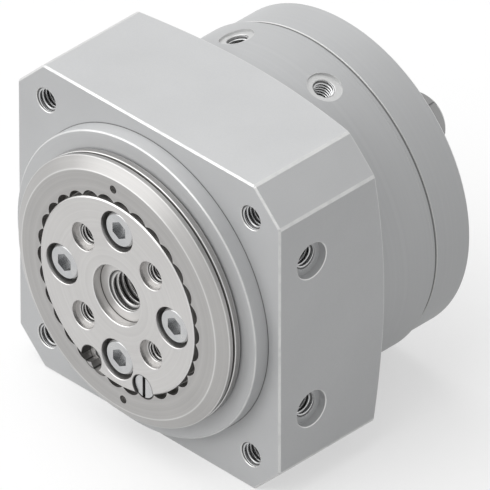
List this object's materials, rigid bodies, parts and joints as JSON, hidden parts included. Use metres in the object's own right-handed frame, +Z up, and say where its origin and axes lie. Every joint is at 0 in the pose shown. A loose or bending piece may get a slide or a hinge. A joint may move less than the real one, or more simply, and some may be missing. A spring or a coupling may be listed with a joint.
{
  "type": "semi-rotary actuator",
  "caption": "Air-driven vane actuator: square bearing block with a turning output flange locked by a scalloped nut, round ported rear housing and a through shaft.",
  "frame": {"origin": "on the swing axis, in the front face of the square block", "axes": "+Y along the swing axis from the output flange to the rear shaft, +Z up towards the air ports"},
  "size_m": [0.082, 0.0978, 0.082],
  "materials": {
    "anodised_block": "clear anodised, fine matt",
    "anodised_round": "clear anodised, turned",
    "flange_steel": "nickel plated, turned face",
    "nut_steel": "nickel plated, turned",
    "zinc_screws": "bright zinc",
    "ground_steel": "ground",
    "hardened_pins": "ground",
    "bearing_steel": "polished",
    "spring_steel": "phosphated",
    "vane_metal": "machined",
    "bush_bronze": "machined",
    "cage_plastic": "natural polyamide",
    "seal_rubber": "matt"
  },
  "bodies": {
    "housing": {"bearing_housing": "anodised_block", "vane_housing": "anodised_round", "rear_cover": "anodised_round", "housing_screws": "zinc_screws", "locating_dowels": "hardened_pins", "wiper_seal": "seal_rubber", "front_bearing_outer_ring": "bearing_steel", "rear_bearing_outer_ring": "bearing_steel", "outer_spacer": "bearing_steel", "bearing_retainer": "nut_steel", "stator_shoe": "vane_metal", "shoe_seal": "seal_rubber", "shoe_pins": "hardened_pins", "cushion_pads": "seal_rubber", "cover_o_ring": "seal_rubber", "front_shaft_bush": "bush_bronze", "front_shaft_seal": "seal_rubber", "rear_shaft_seal": "seal_rubber", "shaft_bearing_outer_ring": "bearing_steel", "bearing_circlip": "spring_steel"},
    "rotor": {"output_flange": "flange_steel", "ring_nut": "nut_steel", "labyrinth_ring": "nut_steel", "lock_screw": "zinc_screws", "flange_screws": "zinc_screws", "front_bearing_inner_ring": "bearing_steel", "rear_bearing_inner_ring": "bearing_steel", "inner_spacer": "bearing_steel", "drive_dowels": "hardened_pins", "vane_shaft": "ground_steel", "vane": "vane_metal", "vane_seal": "seal_rubber", "vane_key": "hardened_pins", "shaft_bearing_inner_ring": "bearing_steel", "shaft_circlip": "spring_steel"},
    "front_ball_set": {"front_bearing_balls": "bearing_steel", "front_bearing_cage": "cage_plastic"},
    "rear_ball_set": {"rear_bearing_balls": "bearing_steel", "rear_bearing_cage": "cage_plastic"},
    "shaft_ball_set": {"shaft_bearing_balls": "bearing_steel", "shaft_bearing_cage": "cage_plastic"}
  },
  "joints": [
    {"name": "output_swing", "type": "hinge", "parent": "housing", "child": "rotor", "pos_m": [0, 0, 0], "axis": [0, 1, 0], "range_deg": [-135, 135]},
    {"name": "front_balls_roll", "type": "hinge", "parent": "housing", "child": "front_ball_set", "pos_m": [0, 0, 0], "axis": [0, 1, 0], "range_deg": [-63.9, 63.9]},
    {"name": "rear_balls_roll", "type": "hinge", "parent": "housing", "child": "rear_ball_set", "pos_m": [0, 0, 0], "axis": [0, 1, 0], "range_deg": [-63.9, 63.9]},
    {"name": "shaft_balls_roll", "type": "hinge", "parent": "housing", "child": "shaft_ball_set", "pos_m": [0, 0, 0], "axis": [0, 1, 0], "range_deg": [-55.2, 55.2]}
  ],
  "couplings": [
    {"joint": "front_balls_roll", "follows": "output_swing", "ratio": 0.4714},
    {"joint": "rear_balls_roll", "follows": "output_swing", "ratio": 0.4714},
    {"joint": "shaft_balls_roll", "follows": "output_swing", "ratio": 0.407}
  ]
}
